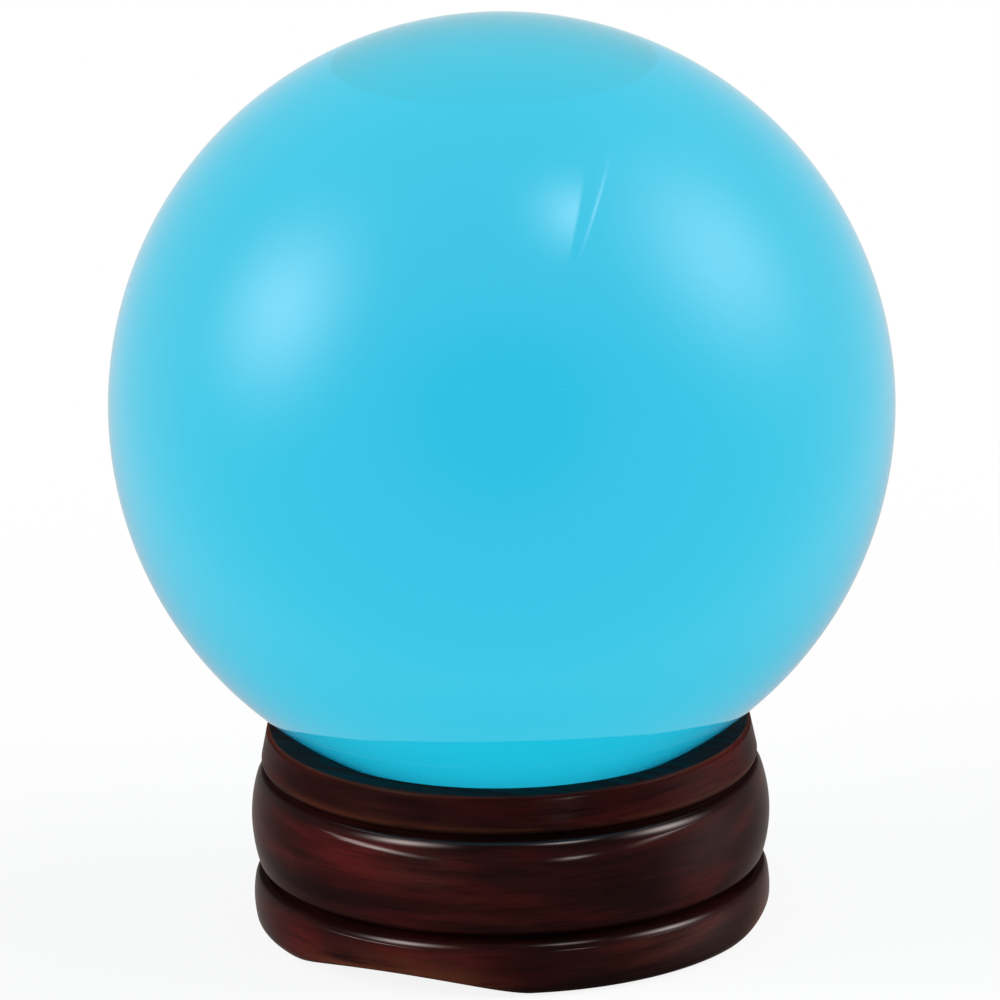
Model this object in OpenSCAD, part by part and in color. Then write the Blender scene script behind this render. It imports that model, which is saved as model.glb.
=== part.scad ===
// A solid glass ball that rests in a turned and lacquered wooden stand.
// The origin is on the surface the stand rests on, below the middle of the ball, and +Z is up.
// The front, towards -Y, is the middle of the arch between two feet.

/* [Ball] */
// Diameter of the glass ball
ball_d = 80; // [60:1:120]
// Clearance between the glass and the sloping seat that it rests on
seat_gap = 0.15; // [0.05:0.05:0.4]

/* [Seat] */
// Diameter of the circle on which the ball touches the seat
seat_d = 42.6; // [36:0.1:54]
// Width of the sloping seat face, measured down its slope
seat_w = 1.2; // [0.6:0.1:2]
// Width of the flat land between the seat and the collar's outer edge
land_w = 2.95; // [1.5:0.05:5]
// How far the turned dish stays clear of the ball, below the seat
dish_relief = 1.5; // [0.5:0.1:3]

/* [Stand] */
// Height of the whole stand
stand_h = 20.9; // [17:0.1:30]
// Height of the collar, from the upper groove to the land
collar_h = 4.2; // [3:0.1:6]
// How much wider the collar is at its lower edge than at its upper edge
collar_flare = 0.6; // [0:0.05:1]
// Radius of the rounding along the collar's upper edge
collar_top_edge_r = 0.35; // [0.1:0.05:0.8]
// Radius of the rounding along the collar's lower edge
collar_low_edge_r = 0.9; // [0.6:0.05:1.2]
// How far the middle bead stands out past the collar's upper edge
bead_proud = 1.75; // [1.2:0.05:2.2]
// Radius of the slight bulge across the middle bead
bead_crown_r = 14; // [12:0.5:22]
// Radius of the rounded shoulders of the middle bead
bead_corner_r = 1.8; // [1.4:0.05:2.4]
// Depth of both grooves, measured from the middle bead's widest point
groove_depth = 1.5; // [1.2:0.05:2]

/* [Foot] */
// Height of the foot band, from the surface to the lower groove
foot_h = 5.9; // [5:0.1:8]
// How far the foot band stands out past the collar's upper edge
foot_proud = 1.65; // [1.1:0.05:2]
// Radius of the bulge across the foot band
foot_crown_r = 10; // [7:0.1:14]
// Radius of the rounded shoulders of the foot band
foot_corner_r = 1.4; // [1.1:0.05:1.8]
// Number of feet, with one arch between each pair
feet = 3; // [3:1:5]
// Angle that each arch spans around the foot band's edge
arch_angle = 62; // [30:1:65]
// Height of each arch at its middle
arch_h = 1.9; // [0.8:0.05:2.5]
// Diameter of the recess turned into the underside
underside_d = 36; // [28:0.5:40]
// Depth of the recess in the underside
underside_depth = 2.6; // [1:0.1:4]

/* [Hidden] */
$fn = 180;

// Steps in each round stretch of the turned outline
corner_steps = 10;
crown_steps = 16;
dish_steps = 24;

ball_r = ball_d / 2;
seat_r = seat_d / 2;

// The seat slopes as the ball's own surface does where they meet.
seat_slope = asin(seat_r / (ball_r + seat_gap));
seat_half_run = seat_w / 2 * cos(seat_slope);
seat_half_rise = seat_w / 2 * sin(seat_slope);
seat_out_r = seat_r + seat_half_run;
seat_in_r = seat_r - seat_half_run;
seat_low_z = stand_h - 2 * seat_half_rise;
ball_z = stand_h - seat_half_rise + (ball_r + seat_gap) * cos(seat_slope);

// The dish has the ball's own middle, so it clears the glass evenly.
dish_r = ball_r + dish_relief;
dish_edge_angle = asin(seat_in_r / dish_r);

collar_top_r = seat_out_r + land_w;
collar_low_r = collar_top_r + collar_flare;
bead_r = collar_top_r + bead_proud;
foot_r = collar_top_r + foot_proud;
groove_root_r = bead_r - groove_depth;
upper_groove_z = stand_h - collar_h;
lower_groove_z = foot_h;

arch_half_w = foot_r * sin(arch_angle / 2);
arch_r = (arch_half_w * arch_half_w + arch_h * arch_h) / (2 * arch_h);

// Points along an arc in the turned outline, given as [radius from the axis, height].
function arc(middle, r, from, to, steps) = [
    for (i = [0 : steps])
        let (a = from + (to - from) * i / steps)
        [middle[0] + r * cos(a), middle[1] + r * sin(a)]
];

// The radius at which both corner circles of a band have their middles.
// Each corner lies inside the crown's own circle and touches it, so the outline has no kink.
function corner_middle_r(low, high, widest, crown_r, corner_r) =
    let (rise = (high - low) / 2 - corner_r)
    widest - crown_r + sqrt(pow(crown_r - corner_r, 2) - rise * rise);

// The outline of one rounded band between heights low and high.
// It starts and ends where its corners reach the given radii, at a groove's root or at a flat face.
function band(low, high, widest, crown_r, corner_r, start_r, end_r) =
    let (
        middle_z = (low + high) / 2,
        rise = (high - low) / 2 - corner_r,
        tangent = asin(rise / (crown_r - corner_r)),
        corner_x = corner_middle_r(low, high, widest, crown_r, corner_r),
        start = -acos((start_r - corner_x) / corner_r),
        end = acos((end_r - corner_x) / corner_r)
    )
    concat(
        arc([corner_x, low + corner_r], corner_r, start, -tangent, corner_steps),
        arc([widest - crown_r, middle_z], crown_r, -tangent, tangent, crown_steps),
        arc([corner_x, high - corner_r], corner_r, tangent, end, corner_steps)
    );

// The foot band starts at the flat face that the stand rests on.
function foot_outline() =
    let (flat_r = corner_middle_r(0, foot_h, foot_r, foot_crown_r, foot_corner_r))
    band(0, foot_h, foot_r, foot_crown_r, foot_corner_r, flat_r, groove_root_r);

function bead_outline() =
    band(lower_groove_z, upper_groove_z, bead_r, bead_crown_r, bead_corner_r, groove_root_r, groove_root_r);

// The collar widens a little towards its rounded lower edge.
function collar_outline() =
    let (
        low_x = collar_low_r - collar_low_edge_r,
        lean = atan(collar_flare / collar_h),
        start = -acos((groove_root_r - low_x) / collar_low_edge_r)
    )
    concat(
        arc([low_x, upper_groove_z + collar_low_edge_r], collar_low_edge_r, start, lean, corner_steps),
        arc(
            [collar_top_r - collar_top_edge_r, stand_h - collar_top_edge_r],
            collar_top_edge_r, lean, 90, corner_steps
        )
    );

// From the land down the seat and across the dish to the axis.
function dish_outline() = concat(
    [[seat_out_r, stand_h], [seat_in_r, seat_low_z]],
    arc([0, ball_z], dish_r, dish_edge_angle - 90, -90, dish_steps)
);

function underside_outline() = [
    [0, underside_depth],
    [underside_d / 2, underside_depth],
    [underside_d / 2, 0]
];

module turned_block() {
    rotate_extrude()
        polygon(concat(
            underside_outline(), foot_outline(), bead_outline(), collar_outline(), dish_outline()
        ));
}

// One shallow arch, cut from the underside's recess out through the front of the foot band.
module foot_arch() {
    translate([0, 0, arch_h - arch_r])
        rotate([90, 0, 0])
            cylinder(r = arch_r, h = 2 * foot_r);
}

module wooden_stand() {
    color([0.27, 0.08, 0.06])
        difference() {
            turned_block();
            for (i = [0 : feet - 1])
                rotate([0, 0, i * 360 / feet])
                    foot_arch();
        }
}

module glass_ball() {
    color([0.24, 0.77, 0.9])
        translate([0, 0, ball_z])
            sphere(r = ball_r);
}

wooden_stand();
glass_ball();
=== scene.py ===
"""A solid aqua glass ball on a turned, lacquered wooden stand, lit as in a white light tent."""

import math

import bmesh
import bpy
from mathutils import Matrix, Vector, noise


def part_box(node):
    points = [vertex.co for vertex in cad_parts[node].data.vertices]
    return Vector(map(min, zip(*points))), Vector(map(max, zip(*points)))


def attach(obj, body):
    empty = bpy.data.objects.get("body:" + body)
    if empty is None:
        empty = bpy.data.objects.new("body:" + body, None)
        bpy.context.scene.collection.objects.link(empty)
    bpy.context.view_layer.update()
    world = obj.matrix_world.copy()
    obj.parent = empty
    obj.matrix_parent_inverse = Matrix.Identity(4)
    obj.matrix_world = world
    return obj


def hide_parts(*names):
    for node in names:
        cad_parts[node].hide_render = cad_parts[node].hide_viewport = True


MM = 0.001

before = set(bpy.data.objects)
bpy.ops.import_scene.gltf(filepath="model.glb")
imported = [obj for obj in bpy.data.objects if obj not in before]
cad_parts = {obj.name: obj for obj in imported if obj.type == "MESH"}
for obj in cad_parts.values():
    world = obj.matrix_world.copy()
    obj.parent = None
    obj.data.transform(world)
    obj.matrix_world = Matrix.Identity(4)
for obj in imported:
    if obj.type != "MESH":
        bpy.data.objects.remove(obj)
bpy.context.view_layer.update()

ball_low, ball_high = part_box("glass_ball")
ball_middle_z = (ball_low.z + ball_high.z) / 2
ball_r = (ball_high.z - ball_low.z) / 2
_, stand_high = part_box("wooden_stand")


def towards(azimuth, elevation):
    """Unit vector from the object to the studio, in degrees from the front and above the floor."""
    around = math.radians(azimuth)
    above = math.radians(elevation)
    flat = math.cos(above)
    return Vector((math.sin(around) * flat, -math.cos(around) * flat, math.sin(above)))


# ------------------------------------------------------------------ camera

CAMERA_AZIMUTH = 28.0
CAMERA_ELEVATION = 17.5
CAMERA_ROLL = -1.25
CAMERA_DISTANCE = 1.5
CAMERA_LENS = 530.5
CAMERA_SENSOR = 36.0
AIM_BELOW_BALL = 10.1 * MM
AIM_TO_LEFT = 0.39 * MM


def make_camera():
    """A long lens a little above the ball, rolled as the object leans in the picture."""
    data = bpy.data.cameras.new("camera")
    data.lens = CAMERA_LENS
    data.sensor_width = CAMERA_SENSOR
    data.clip_start = 0.05
    data.clip_end = 50.0
    camera = bpy.data.objects.new("camera", data)
    back = towards(CAMERA_AZIMUTH, CAMERA_ELEVATION)
    turn = (-back).to_track_quat("-Z", "Y").to_matrix()
    right = turn @ Vector((1, 0, 0))
    aim = Vector((0, 0, ball_middle_z - AIM_BELOW_BALL)) - right * AIM_TO_LEFT
    roll = Matrix.Rotation(math.radians(CAMERA_ROLL), 3, "Z")
    camera.location = aim + back * CAMERA_DISTANCE
    camera.rotation_mode = "QUATERNION"
    camera.rotation_quaternion = (turn @ roll).to_quaternion()
    bpy.context.scene.collection.objects.link(camera)
    bpy.context.scene.camera = camera


# ------------------------------------------------------------------ node helpers


class Tree:
    """Short ways to add shader nodes to one material or world."""

    def __init__(self, owner):
        owner.use_nodes = True
        self.tree = owner.node_tree
        self.tree.nodes.clear()

    def add(self, kind, **settings):
        node = self.tree.nodes.new(kind)
        for key, value in settings.items():
            setattr(node, key, value)
        return node

    def put(self, socket, value):
        """Links value to socket if it is another node's output, and otherwise sets it."""
        if isinstance(value, bpy.types.NodeSocket):
            self.tree.links.new(value, socket)
        else:
            socket.default_value = value

    def maths(self, operation, first, second=0.0, clamp=False):
        node = self.add("ShaderNodeMath", operation=operation, use_clamp=clamp)
        self.put(node.inputs[0], first)
        self.put(node.inputs[1], second)
        return node.outputs[0]

    def total(self, values):
        """The sum of several numbers or sockets."""
        first, *others = values
        for value in others:
            first = self.maths("ADD", first, value)
        return first

    def dot(self, vector, fixed):
        node = self.add("ShaderNodeVectorMath", operation="DOT_PRODUCT")
        self.put(node.inputs[0], vector)
        self.put(node.inputs[1], tuple(fixed))
        return node.outputs["Value"]

    def height(self, vector):
        node = self.add("ShaderNodeSeparateXYZ")
        self.put(node.inputs[0], vector)
        return node.outputs["Z"]

    def span(self, value, from_low, from_high, to_low=0.0, to_high=1.0):
        """Maps a value smoothly from one range to another."""
        node = self.add("ShaderNodeMapRange", interpolation_type="SMOOTHSTEP")
        for socket, given in zip(node.inputs, (value, from_low, from_high, to_low, to_high)):
            self.put(socket, given)
        return node.outputs[0]

    def near(self, value, middle, start, end):
        """1 while the value is within start of the middle, falling to 0 once it is end away."""
        off = self.maths("ABSOLUTE", self.maths("SUBTRACT", value, middle))
        return self.span(off, start, end, 1.0, 0.0)

    def choose(self, factor, first, second):
        """The first number where factor is 0, and the second where it is 1."""
        node = self.add("ShaderNodeMix", data_type="FLOAT")
        self.put(node.inputs[0], factor)
        self.put(node.inputs[2], first)
        self.put(node.inputs[3], second)
        return node.outputs[0]

    def mix(self, factor, first, second):
        """The first colour where factor is 0, and the second where it is 1."""
        node = self.add("ShaderNodeMix", data_type="RGBA")
        self.put(node.inputs["Factor"], factor)
        self.put(node.inputs[6], first)
        self.put(node.inputs[7], second)
        return node.outputs[2]

    def plain_rays(self, path):
        """1 for what the camera sees, straight or through the glass."""
        return self.maths("MAXIMUM", path["Is Camera Ray"], path["Is Transmission Ray"])

    def grain(self, vector, stretch, detail=4.0, distortion=0.0, turn=0.0):
        """Noise turned about the upright axis: stretch is how quickly it varies along each axis."""
        mapping = self.add("ShaderNodeMapping")
        self.put(mapping.inputs["Vector"], vector)
        self.put(mapping.inputs["Rotation"], (0, 0, math.radians(turn)))
        self.put(mapping.inputs["Scale"], stretch)
        node = self.add("ShaderNodeTexNoise")
        self.put(node.inputs["Vector"], mapping.outputs[0])
        self.put(node.inputs["Scale"], 1.0)
        self.put(node.inputs["Detail"], detail)
        self.put(node.inputs["Roughness"], 0.55)
        self.put(node.inputs["Distortion"], distortion)
        return node.outputs["Fac"]


# ------------------------------------------------------------------ studio

WHITE = (1, 1, 1, 1)

# Three soft lamps, which the glass mirrors and which light the wood. Here and below, a lamp is
# its direction, its brightness and how sharply it falls off around that direction.
LEFT_LAMP = (towards(-52, 28), 3.6, 18.0)
RIGHT_LAMP = (towards(119, 34), 2.7, 14.0)
TOP_LAMP = (towards(87, 65), 3.6, 60.0)

# A card's straight edge cuts the top lamp off, and a thin slit of light shows past the card.
# Each lies in a plane, given by the direction square to it.
CARD_EDGE = Vector((0.8094, 0.4670, -0.3559))
CARD_BLUR = 0.02
SLIT = Vector((0.8141, 0.4011, -0.4199))
SLIT_SPOT = (towards(100, 64), 3.0, 45.0)
SLIT_W = 0.012

# The white tent that the polished glass mirrors. Each change to it is a direction, the dot
# products with that direction at which the change starts and is full, and the light it adds.
TENT_WHITE = 0.92
TENT_CHANGES = (
    (towards(28, 15), 0.8, 1.0, -0.3),
    (towards(0, 90), 0.3, 0.95, 0.25),
    (towards(208, -60), 0.6, 0.95, -0.42),
)
# Behind the object the tent is bluer: the direction, and where the tint starts and is full.
TENT_BACK = (towards(208, 25), 0.3, 0.95)
BACK_TINT = (0.76, 0.98, 1.00, 1)

# The dim room round the lamps, which lights the wood, and the glints and level strips of light
# that the lacquer mirrors in it.
ROOM = 0.06
ROOM_GAIN = 1.9
WARM = (1, 0.88, 0.84, 1)
GLINTS = (
    (towards(-30, 40), 9.0, 45.0),
    (towards(110, 33), 8.0, 45.0),
    (towards(64, 60), 7.0, 120.0),
    (towards(208, 10), 0.22, 2.0),
    (towards(124, -8), 0.28, 14.0),
)
STRIPS = (
    (towards(-37, 5), 9.0, 22.0),
    (towards(56, 7), 5.5, 150.0),
    (towards(102, 7), 3.5, 40.0),
)
STRIP_HEIGHT = 0.125
STRIP_W = 0.035


def lamp(t, way, given):
    """A round light, brightest straight along its direction."""
    direction, brightness, sharpness = given
    facing = t.maths("MAXIMUM", t.dot(way, direction), 0.0)
    return t.maths("MULTIPLY", t.maths("POWER", facing, sharpness), brightness)


def soft_lamps(t, way):
    """The three soft lamps, the top one cut off by the card."""
    cut = t.span(t.dot(way, CARD_EDGE), -CARD_BLUR, 0.0, 1.0, 0.0)
    top = t.maths("MULTIPLY", lamp(t, way, TOP_LAMP), cut)
    return t.total((top, lamp(t, way, LEFT_LAMP), lamp(t, way, RIGHT_LAMP)))


def tent_light(t, way):
    """The tent's own light, with the slit."""
    beside = t.near(t.dot(way, SLIT), 0.0, 0.0, SLIT_W)
    slit = t.maths("MULTIPLY", beside, lamp(t, way, SLIT_SPOT))
    changes = [
        t.span(t.dot(way, direction), start, full, 0.0, change)
        for direction, start, full, change in TENT_CHANGES
    ]
    return t.total((*changes, TENT_WHITE, slit))


def lacquer_light(t, way):
    """The dim room with its glints, and its strips at one height round the horizon."""
    level = t.near(t.height(way), STRIP_HEIGHT, 0.0, STRIP_W)
    strips = t.maths("MULTIPLY", t.total(lamp(t, way, given) for given in STRIPS), level)
    return t.total((strips, ROOM, *(lamp(t, way, given) for given in GLINTS)))


def make_world():
    """White to the camera and through glass, a white tent in the glass, a dim room for the rest."""
    world = bpy.data.worlds.new("tent")
    bpy.context.scene.world = world
    t = Tree(world)
    way = t.add("ShaderNodeTexCoord").outputs["Generated"]
    path = t.add("ShaderNodeLightPath").outputs
    plain = t.plain_rays(path)
    mirrored = t.maths("SUBTRACT", path["Is Glossy Ray"], plain, clamp=True)
    sharp = t.maths("MULTIPLY", path["Is Singular Ray"], mirrored)
    blurred = t.maths("SUBTRACT", mirrored, sharp)

    lamps = soft_lamps(t, way)
    on_surfaces = t.maths("MULTIPLY", t.total((lamps, ROOM)), ROOM_GAIN)
    room = t.choose(path["Is Glossy Ray"], on_surfaces, lacquer_light(t, way))
    tent = t.total((tent_light(t, way), lamps))
    strength = t.choose(plain, t.choose(sharp, room, tent), 1.0)

    direction, start, full = TENT_BACK
    behind = t.span(t.dot(way, direction), start, full)
    colour = t.mix(blurred, WHITE, WARM)
    colour = t.mix(t.maths("MULTIPLY", sharp, behind), colour, BACK_TINT)

    light = t.add("ShaderNodeBackground")
    t.put(light.inputs["Color"], colour)
    t.put(light.inputs["Strength"], strength)
    t.put(t.add("ShaderNodeOutputWorld").inputs["Surface"], light.outputs[0])


FLOOR_R = 0.2
FLOOR_STEPS = 96
FLOOR_PALE = (0.12, 0.12, 0.12, 1)
# Distances from the axis at which the floor starts to fade and has faded to white, and how much
# white the camera sees in it at each.
FLOOR_FADE = (0.06, 0.17)
FLOOR_WHITE = (0.88, 1.0)


def floor_material():
    """Lifted to white for the camera, so that only a faint shadow shows, and dim to the object."""
    made = bpy.data.materials.new("white_floor")
    t = Tree(made)
    plain = t.plain_rays(t.add("ShaderNodeLightPath").outputs)
    matt = t.add("ShaderNodeBsdfDiffuse")
    t.put(matt.inputs["Color"], t.mix(plain, FLOOR_PALE, WHITE))
    far = t.add("ShaderNodeVectorMath", operation="LENGTH")
    t.put(far.inputs[0], t.add("ShaderNodeTexCoord").outputs["Object"])
    lift = t.span(far.outputs["Value"], *FLOOR_FADE, *FLOOR_WHITE)
    both = t.add("ShaderNodeMixShader")
    t.put(both.inputs[0], t.maths("MULTIPLY", plain, lift))
    t.put(both.inputs[1], matt.outputs[0])
    t.put(both.inputs[2], t.add("ShaderNodeEmission").outputs[0])
    t.put(t.add("ShaderNodeOutputMaterial").inputs["Surface"], both.outputs[0])
    return made


def make_floor():
    """A disc that has faded into the white background before its rim."""
    mesh = bpy.data.meshes.new("floor")
    shape = bmesh.new()
    bmesh.ops.create_circle(shape, cap_ends=True, segments=FLOOR_STEPS, radius=FLOOR_R)
    shape.to_mesh(mesh)
    shape.free()
    mesh.materials.append(floor_material())
    floor = bpy.data.objects.new("floor", mesh)
    bpy.context.scene.collection.objects.link(floor)
    floor.visible_glossy = False


# ------------------------------------------------------------------ glass ball

GLASS_IOR = 1.5
GLASS_TINT = (0.057, 0.888, 0.957, 1)
GLASS_DENSITY = 70.0
BALL_SUBDIVISIONS = 7


def glass_material():
    """Clear polished glass, tinted through its whole depth."""
    made = bpy.data.materials.new("aqua_glass")
    t = Tree(made)
    shader = t.add("ShaderNodeBsdfPrincipled")
    t.put(shader.inputs["Base Color"], WHITE)
    t.put(shader.inputs["IOR"], GLASS_IOR)
    t.put(shader.inputs["Transmission Weight"], 1.0)
    t.put(shader.inputs["Roughness"], 0.0)
    tint = t.add("ShaderNodeVolumeAbsorption")
    t.put(tint.inputs["Color"], GLASS_TINT)
    t.put(tint.inputs["Density"], GLASS_DENSITY)
    out = t.add("ShaderNodeOutputMaterial")
    t.put(out.inputs["Surface"], shader.outputs[0])
    t.put(out.inputs["Volume"], tint.outputs[0])
    return made


def make_ball():
    """A finely divided sphere, every corner of it at the ball's exact radius."""
    mesh = bpy.data.meshes.new("polished_glass_ball")
    shape = bmesh.new()
    bmesh.ops.create_icosphere(shape, subdivisions=BALL_SUBDIVISIONS, radius=ball_r)
    for corner in shape.verts:
        corner.co = corner.co.normalized() * ball_r + Vector((0, 0, ball_middle_z))
    for face in shape.faces:
        face.smooth = True
    shape.to_mesh(mesh)
    shape.free()
    mesh.materials.append(glass_material())
    ball = bpy.data.objects.new("polished_glass_ball", mesh)
    bpy.context.scene.collection.objects.link(ball)
    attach(ball, "ball")
    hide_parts("glass_ball")


# ------------------------------------------------------------------ wooden stand: its outline

STAND_H = stand_high.z
SEAT_CONTACT_R = 21.3 * MM
SEAT_W = 1.2 * MM
SEAT_GAP = 0.15 * MM
LAND_W = 2.95 * MM
DISH_RELIEF = 1.5 * MM
COLLAR_H = 4.2 * MM
COLLAR_FLARE = 0.6 * MM
COLLAR_TOP_EDGE_R = 0.35 * MM
COLLAR_LOW_EDGE_R = 0.9 * MM
BEAD_R = stand_high.x
BEAD_CROWN_R = 14 * MM
BEAD_CORNER_R = 1.8 * MM
GROOVE_DEPTH = 1.5 * MM
FOOT_H = 5.9 * MM
FOOT_INSIDE_BEAD = 0.1 * MM
FOOT_CROWN_R = 10 * MM
FOOT_CORNER_R = 1.4 * MM
FEET = 3
ARCH_ANGLE = 62.0
ARCH_H = 1.9 * MM
UNDERSIDE_R = 18 * MM
UNDERSIDE_DEPTH = 2.6 * MM
# Rounding along the edge where an arch is cut.
CUT_EDGE_R = 0.3 * MM
# How often that edge is found again on the foot band, each time from the place found before.
CUT_EDGE_PASSES = 6

FOOT_R = BEAD_R - FOOT_INSIDE_BEAD
GROOVE_ROOT_R = BEAD_R - GROOVE_DEPTH
UPPER_GROOVE_Z = STAND_H - COLLAR_H
LOWER_GROOVE_Z = FOOT_H

# The seat slopes as the ball's own surface does where they meet.
SEAT_SLOPE = math.asin(SEAT_CONTACT_R / (ball_r + SEAT_GAP))
SEAT_HALF_RUN = SEAT_W / 2 * math.cos(SEAT_SLOPE)
SEAT_OUT_R = SEAT_CONTACT_R + SEAT_HALF_RUN
SEAT_IN_R = SEAT_CONTACT_R - SEAT_HALF_RUN
SEAT_LOW_Z = STAND_H - SEAT_W * math.sin(SEAT_SLOPE)
DISH_R = ball_r + DISH_RELIEF
COLLAR_TOP_R = SEAT_OUT_R + LAND_W
LAND_OUT_R = COLLAR_TOP_R - COLLAR_TOP_EDGE_R
# The outside of the stand, which is a little uneven and worn, lies beyond this radius.
OUTSIDE_R = SEAT_CONTACT_R + 2 * MM

# Steps round the stand, and along each stretch of its outline.
AROUND = 360
RECESS_STEPS = 6
RECESS_WALL_STEPS = 3
UNDER_STEPS = 12
CUT_EDGE_STEPS = 5
BAND_STEPS = 46
CORNER_STEPS = 12
COLLAR_WALL_STEPS = 10
COLLAR_EDGE_STEPS = 6
LAND_STEPS = 6
SEAT_STEPS = 4
DISH_STEPS = 40


def arc(middle, r, start, end, steps):
    """Points along an arc in the outline, as (radius from the axis, height)."""
    turns = [math.radians(start + (end - start) * i / steps) for i in range(steps + 1)]
    return [(middle[0] + r * math.cos(a), middle[1] + r * math.sin(a)) for a in turns]


def between(start, end, steps):
    """Points strictly between two points of the outline."""
    return [
        (start[0] + (end[0] - start[0]) * i / steps, start[1] + (end[1] - start[1]) * i / steps)
        for i in range(1, steps)
    ]


def band(low, high, widest, crown_r, corner_r, start_r=None):
    """One rounded band between two heights: a corner, the gentle crown and a corner again.

    It starts at start_r, or at its flat underside where none is given, and ends at a groove.
    """
    rise = (high - low) / 2 - corner_r
    tangent = math.degrees(math.asin(rise / (crown_r - corner_r)))
    corner_x = widest - crown_r + math.sqrt((crown_r - corner_r) ** 2 - rise**2)
    start = -90.0
    if start_r is not None:
        start = -math.degrees(math.acos((start_r - corner_x) / corner_r))
    end = math.degrees(math.acos((GROOVE_ROOT_R - corner_x) / corner_r))
    crown = arc((widest - crown_r, (low + high) / 2), crown_r, -tangent, tangent, BAND_STEPS)
    return (
        arc((corner_x, low + corner_r), corner_r, start, -tangent, CORNER_STEPS)
        + crown[1:-1]
        + arc((corner_x, high - corner_r), corner_r, tangent, end, CORNER_STEPS)
    )


def collar():
    """The collar, from the upper groove to the flat land."""
    lean = math.degrees(math.atan(COLLAR_FLARE / COLLAR_H))
    low_x = COLLAR_TOP_R + COLLAR_FLARE - COLLAR_LOW_EDGE_R
    low_middle = (low_x, UPPER_GROOVE_Z + COLLAR_LOW_EDGE_R)
    start = -math.degrees(math.acos((GROOVE_ROOT_R - low_x) / COLLAR_LOW_EDGE_R))
    low = arc(low_middle, COLLAR_LOW_EDGE_R, start, lean, CORNER_STEPS)
    high_middle = (LAND_OUT_R, STAND_H - COLLAR_TOP_EDGE_R)
    high = arc(high_middle, COLLAR_TOP_EDGE_R, lean, 90, COLLAR_EDGE_STEPS)
    return low + between(low[-1], high[0], COLLAR_WALL_STEPS) + high


def seat_and_dish():
    """From the collar's rim over the land, down the sloping seat and along the dish."""
    rim = (LAND_OUT_R, STAND_H)
    out = (SEAT_OUT_R, STAND_H)
    inner = (SEAT_IN_R, SEAT_LOW_Z)
    land = between(rim, out, LAND_STEPS) + [out]
    seat = between(out, inner, SEAT_STEPS) + [inner]
    edge = math.degrees(math.asin(SEAT_IN_R / DISH_R))
    dish = arc((0, ball_middle_z), DISH_R, edge - 90, -90, DISH_STEPS)
    return land + seat + dish[:-1]


def arch_cut(x, y):
    """Height of the arch's cut over a point of the underside, or 0 where a foot stands."""
    half_w = FOOT_R * math.sin(math.radians(ARCH_ANGLE / 2))
    r = (half_w**2 + ARCH_H**2) / (2 * ARCH_H)
    for i in range(FEET):
        way = towards(i * 360 / FEET, 0)
        ahead = x * way.x + y * way.y
        aside = x * way.y - y * way.x
        if ahead > 0 and abs(aside) < half_w:
            return ARCH_H - r + math.sqrt(r**2 - aside**2)
    return 0.0


def recess(way):
    """The recess in the underside, from near the axis down its wall."""
    flat = [(UNDERSIDE_R * i / RECESS_STEPS, UNDERSIDE_DEPTH) for i in range(1, RECESS_STEPS + 1)]
    edge = (UNDERSIDE_R, arch_cut(way.x * UNDERSIDE_R, way.y * UNDERSIDE_R))
    return flat + between(flat[-1], edge, RECESS_WALL_STEPS)


def foot_radius(foot, z):
    """The foot band's own radius at a height, before any arch is cut."""
    for (r0, z0), (r1, z1) in zip(foot, foot[1:]):
        if z0 <= z <= z1:
            return r0 + (r1 - r0) * (z - z0) / max(z1 - z0, 1e-9)
    return foot[0][0]


def rounded(start, corner, end):
    """Points along a small curve that rounds off the corner between two points."""
    points = []
    for i in range(1, CUT_EDGE_STEPS):
        s = i / CUT_EDGE_STEPS
        weights = ((1 - s) ** 2, 2 * s * (1 - s), s**2)
        r, z = (sum(w * part for w, part in zip(weights, parts)) for parts in zip(start, corner, end))
        points.append((r, z))
    return points


def foot_column(foot, way):
    """The foot band's outline at one side of the stand, trimmed by the arch over it."""
    edge_r, edge_z = foot[0][0], 0.0
    for _ in range(CUT_EDGE_PASSES):
        edge_z = arch_cut(way.x * edge_r, way.y * edge_r)
        edge_r = foot_radius(foot, edge_z)
    width = edge_r - CUT_EDGE_R - UNDERSIDE_R
    radii = [UNDERSIDE_R + width * i / UNDER_STEPS for i in range(UNDER_STEPS + 1)]
    under = [(r, arch_cut(way.x * r, way.y * r)) for r in radii]
    start_z = edge_z + CUT_EDGE_R
    rise = foot[-1][1] - start_z
    heights = [start_z + rise * i / BAND_STEPS for i in range(BAND_STEPS + 1)]
    side = [(foot_radius(foot, z), z) for z in heights]
    return under + rounded(under[-1], (edge_r, edge_z), side[0]) + side


# ------------------------------------------------------------------ wooden stand: its mesh

WANDER = 0.035 * MM
WANDER_FINE = 0.012 * MM
WANDER_FINE_SCALE = 3.1
WANDER_AROUND = 1.3
WANDER_H = 6 * MM
# The feet stay true up to this height, so that the stand is level.
TRUE_FEET_H = 0.05 * MM
# How worn the edges are, and the height over which the wear fades away from each.
ARCH_WEAR = 1.5
ARCH_WEAR_H = 1.6 * MM
RIM_WEAR = 0.35
RIM_WEAR_H = 0.25 * MM
LOW_EDGE_WEAR = 0.45
LOW_EDGE_WEAR_H = 0.3 * MM
SHARP_EDGE = 35.0


def wander(r, z, turn):
    """The small unevenness of a hand-turned outside, in metres of radius."""
    if r <= OUTSIDE_R or z <= TRUE_FEET_H:
        return 0.0
    way = Vector((math.cos(turn) * WANDER_AROUND, math.sin(turn) * WANDER_AROUND, z / WANDER_H))
    return WANDER * noise.noise(way) + WANDER_FINE * noise.noise(way * WANDER_FINE_SCALE)


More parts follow.
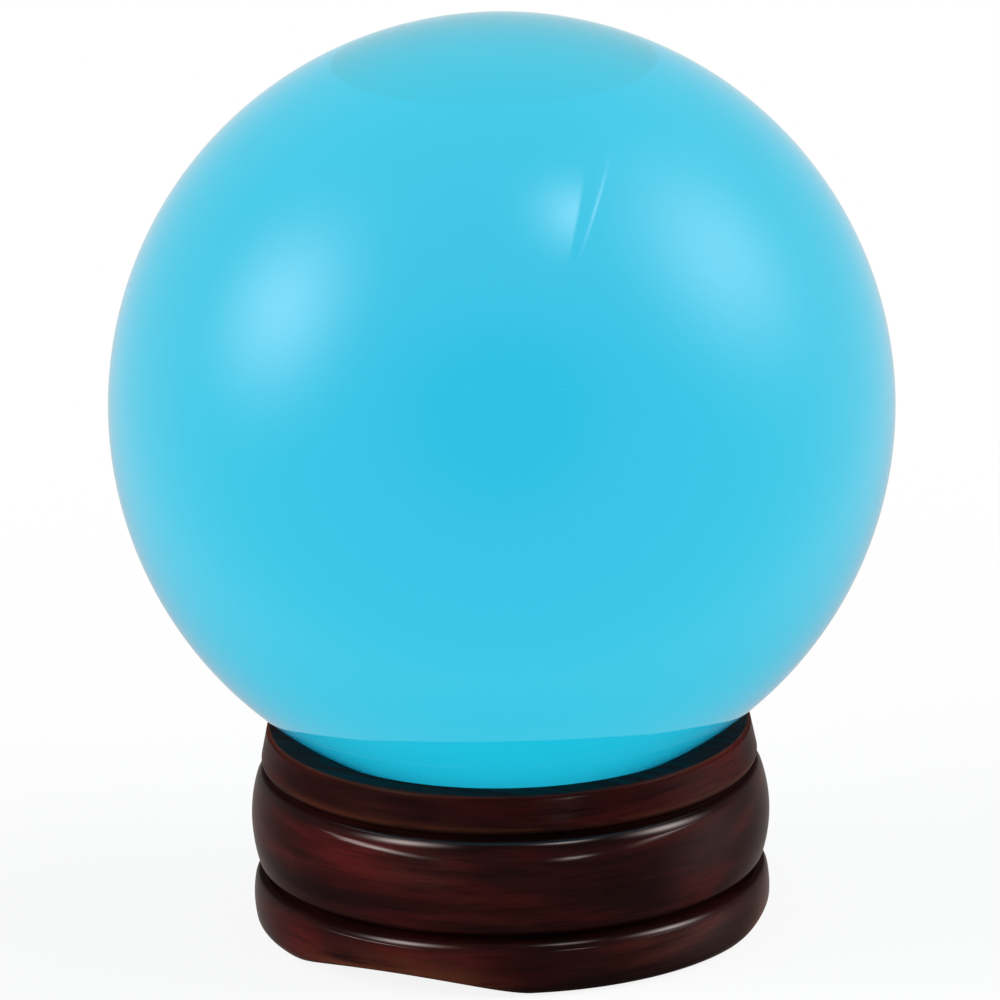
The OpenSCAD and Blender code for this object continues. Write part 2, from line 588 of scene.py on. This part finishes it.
def edge_wear(r, z, edge_z):
    """How far the stain has rubbed off: along the arches' cut edges and the collar's two edges."""
    if r < OUTSIDE_R:
        return 0.0
    above_arch = max(z - edge_z, 0) / ARCH_WEAR_H
    arch = min(ARCH_WEAR * edge_z / ARCH_H, 1) * math.exp(-(above_arch**2))
    rim = RIM_WEAR * math.exp(-abs(z - STAND_H) / RIM_WEAR_H)
    above_low_edge = abs(z - UPPER_GROOVE_Z - COLLAR_LOW_EDGE_R)
    low_edge = LOW_EDGE_WEAR * math.exp(-above_low_edge / LOW_EDGE_WEAR_H)
    return max(arch, rim, low_edge)


def stand_columns(shape):
    """The stand's corners, in upright rows round the axis, each corner with its wear."""
    foot = band(0, FOOT_H, FOOT_R, FOOT_CROWN_R, FOOT_CORNER_R)
    bead_heights = (LOWER_GROOVE_Z, UPPER_GROOVE_Z)
    bead = band(*bead_heights, BEAD_R, BEAD_CROWN_R, BEAD_CORNER_R, GROOVE_ROOT_R)
    upper = bead + collar() + seat_and_dish()
    wear = shape.verts.layers.float.new("wear")
    columns = []
    for i in range(AROUND):
        turn = 2 * math.pi * i / AROUND
        way = Vector((math.cos(turn), math.sin(turn), 0))
        edge_z = arch_cut(way.x * FOOT_R, way.y * FOOT_R)
        column = []
        for r, z in recess(way) + foot_column(foot, way) + upper:
            grown = r + wander(r, z, turn)
            corner = shape.verts.new((way.x * grown, way.y * grown, z))
            corner[wear] = edge_wear(r, z, edge_z)
            column.append(corner)
        columns.append(column)
    return columns


def join_columns(shape, columns):
    """Joins the rows into one closed skin, with a fan round the axis at each end."""
    below = shape.verts.new((0, 0, UNDERSIDE_DEPTH))
    above = shape.verts.new((0, 0, ball_middle_z - DISH_R))
    for left, right in zip(columns, columns[1:] + columns[:1]):
        for i in range(len(left) - 1):
            shape.faces.new((left[i], right[i], right[i + 1], left[i + 1]))
        shape.faces.new((below, right[0], left[0]))
        shape.faces.new((above, left[-1], right[-1]))
    for face in shape.faces:
        face.smooth = True
    bmesh.ops.recalc_face_normals(shape, faces=shape.faces)


def make_stand():
    """Turns the outline round the axis, with arches cut through the foot band."""
    shape = bmesh.new()
    join_columns(shape, stand_columns(shape))
    mesh = bpy.data.meshes.new("turned_stand")
    shape.to_mesh(mesh)
    shape.free()
    mesh.set_sharp_from_angle(angle=math.radians(SHARP_EDGE))
    mesh.materials.append(wood_material())
    mesh.materials.append(painted_shade_seat_material())
    # The land and the seat take the nearly black material, which is painted shade under the ball.
    for face in mesh.polygons:
        x, y, z = face.center
        if SEAT_IN_R < math.hypot(x, y) < LAND_OUT_R and z > UPPER_GROOVE_Z:
            face.material_index = 1
    stand = bpy.data.objects.new("turned_stand", mesh)
    bpy.context.scene.collection.objects.link(stand)
    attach(stand, "stand")
    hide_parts("wooden_stand")


# ------------------------------------------------------------------ wooden stand: its materials

WOOD_DARK = (0.010, 0.0025, 0.0030, 1)
WOOD_MID = (0.042, 0.0085, 0.0088, 1)
WOOD_RED = (0.135, 0.0150, 0.0140, 1)
WOOD_BROWN = (0.095, 0.0280, 0.0210, 1)
WOOD_WORN = (0.200, 0.0550, 0.0260, 1)
# The grooves' near black is painted shade.
GROOVE_PAINTED_SHADE = (0.006, 0.002, 0.002, 1)
# Nearly black on the land and the seat: painted shade under the ball.
SEAT_PAINTED_SHADE = (0.004, 0.004, 0.005, 1)
SEAT_BROWN = (0.020, 0.006, 0.006, 1)

# How quickly each noise varies along X, Y and Z, per metre. The grain lies level.
PATCHES = (45, 45, 130)
BROWN_PATCHES = (60, 60, 110)
PAINTED_SHADE_PATCHES = (38, 38, 210)
STREAKS = (85, 85, 850)
FINE_LINES = (190, 190, 3400)
SEAT_STREAKS = (90, 700, 700)
# The large dark patches are turned about the axis so that one lies on the front, where it is painted
# shade.
PAINTED_SHADE_TURN = -25.0

# The values of a noise at which its colour starts to show and shows fully.
RED_FROM = (0.35, 0.68)
WORN_FROM = (0.3, 0.55)
SEAT_BROWN_FROM = (0.35, 0.65)
# The same, and how much of the colour then shows.
BROWN_COVER = (0.5, 0.75, 0.7)
PAINTED_SHADE_COVER = (0.42, 0.66, 0.75)
STREAK_COVER = (0.45, 0.72, 0.6)
LINE_COVER = (0.48, 0.72, 0.45)
# Two values of the noise, and the roughness at each.
WOOD_ROUGHNESS = (0.3, 0.7, 0.45, 0.6)
SEAT_ROUGHNESS = (0.3, 0.7, 0.5, 0.7)

# How far above and below a groove or the rim the painted shade in the grooves and the dulled lacquer
# start to fade and end.
GROOVE_SHADE_FADE = (0.2 * MM, 1.7 * MM)
DULL_FADE = (0.3 * MM, 0.7 * MM)
# How far the painted shade darkens the grooves toward near black.
GROOVE_SHADE_AMOUNT = 0.85
DULL = 0.9
COLLAR_SATIN = 0.3
COLLAR_SATIN_FADE = 0.8 * MM


def near_any(t, height, middles, fade):
    """1 at any of the given heights, falling to 0 a little above and below them."""
    result = 0.0
    for middle in middles:
        result = t.maths("MAXIMUM", result, t.near(height, middle, *fade))
    return result


def cover(t, grain, start, full, amount):
    """How much of a colour shows: none where its noise is at start, and amount where it is full."""
    return t.maths("MULTIPLY", t.span(grain, start, full), amount)


def wood_material():
    """Dark red stained wood, its grain lying across the stand, under gloss lacquer."""
    made = bpy.data.materials.new("lacquered_wood")
    t = Tree(made)
    place = t.add("ShaderNodeTexCoord").outputs["Object"]
    height = t.height(place)
    patches = t.grain(place, PATCHES, detail=2.0, distortion=0.6)
    brown = t.grain(place, BROWN_PATCHES, detail=2.0)
    painted_shade_noise = t.grain(place, PAINTED_SHADE_PATCHES, detail=2.0, distortion=0.4, turn=PAINTED_SHADE_TURN)
    streaks = t.grain(place, STREAKS, distortion=0.3)
    lines = t.grain(place, FINE_LINES, detail=3.0)

    # The stain, from its broad patches to its fine lines. The large dark patches are partly uneven
    # stain and partly painted shade, turned so that one lies on the front.
    colour = t.mix(t.span(patches, *RED_FROM), WOOD_MID, WOOD_RED)
    colour = t.mix(cover(t, brown, *BROWN_COVER), colour, WOOD_BROWN)
    # Large dark patches: uneven stain, and painted shade where one is turned onto the front.
    colour = t.mix(cover(t, painted_shade_noise, *PAINTED_SHADE_COVER), colour, WOOD_DARK)
    colour = t.mix(cover(t, streaks, *STREAK_COVER), colour, WOOD_DARK)
    colour = t.mix(cover(t, lines, *LINE_COVER), colour, WOOD_DARK)

    # Painted shade darkening the grooves, a darker collar, and stain rubbed off along the edges.
    grooves = (LOWER_GROOVE_Z, UPPER_GROOVE_Z)
    groove_shade = near_any(t, height, grooves, GROOVE_SHADE_FADE)
    colour = t.mix(t.maths("MULTIPLY", groove_shade, GROOVE_SHADE_AMOUNT), colour, GROOVE_PAINTED_SHADE)
    satin_full_z = UPPER_GROOVE_Z + COLLAR_SATIN_FADE
    satin = t.span(height, UPPER_GROOVE_Z, satin_full_z, 0.0, COLLAR_SATIN)
    colour = t.mix(satin, colour, WOOD_DARK)
    worn = t.add("ShaderNodeAttribute", attribute_name="wear").outputs["Fac"]
    colour = t.mix(t.maths("MULTIPLY", worn, t.span(streaks, *WORN_FROM)), colour, WOOD_WORN)

    # The lacquer is thinner on the collar, and nearly gone in the grooves and along the rim.
    dull = t.maths("MULTIPLY", near_any(t, height, (*grooves, STAND_H), DULL_FADE), DULL)
    dull = t.maths("MAXIMUM", dull, satin)
    bump = t.add("ShaderNodeBump")
    t.put(bump.inputs["Strength"], 0.35)
    t.put(bump.inputs["Distance"], 0.02 * MM)
    t.put(bump.inputs["Height"], streaks)

    shader = t.add("ShaderNodeBsdfPrincipled")
    t.put(shader.inputs["Base Color"], colour)
    t.put(shader.inputs["Roughness"], t.span(lines, *WOOD_ROUGHNESS))
    t.put(shader.inputs["Specular IOR Level"], 0.0)
    t.put(shader.inputs["Coat Weight"], t.maths("SUBTRACT", 1.0, dull))
    t.put(shader.inputs["Coat Roughness"], 0.06)
    t.put(shader.inputs["Coat IOR"], 1.5)
    t.put(shader.inputs["Normal"], bump.outputs[0])
    t.put(shader.inputs["Coat Normal"], bump.outputs[0])
    t.put(t.add("ShaderNodeOutputMaterial").inputs["Surface"], shader.outputs[0])
    return made


def painted_shade_seat_material():
    """The same wood on the land and the seat, without gloss, its nearly black colour painted shade
    under the ball.
    """
    made = bpy.data.materials.new("painted_shade_seat")
    t = Tree(made)
    streaks = t.grain(t.add("ShaderNodeTexCoord").outputs["Object"], SEAT_STREAKS)
    shader = t.add("ShaderNodeBsdfPrincipled")
    t.put(shader.inputs["Base Color"], t.mix(t.span(streaks, *SEAT_BROWN_FROM), SEAT_PAINTED_SHADE, SEAT_BROWN))
    t.put(shader.inputs["Roughness"], t.span(streaks, *SEAT_ROUGHNESS))
    t.put(shader.inputs["Specular IOR Level"], 0.05)
    t.put(t.add("ShaderNodeOutputMaterial").inputs["Surface"], shader.outputs[0])
    return made


# ------------------------------------------------------------------ everything, in order

make_camera()
make_world()
make_floor()
make_ball()
make_stand()
bpy.context.scene.view_settings.view_transform = "Standard"
bpy.context.view_layer.update()
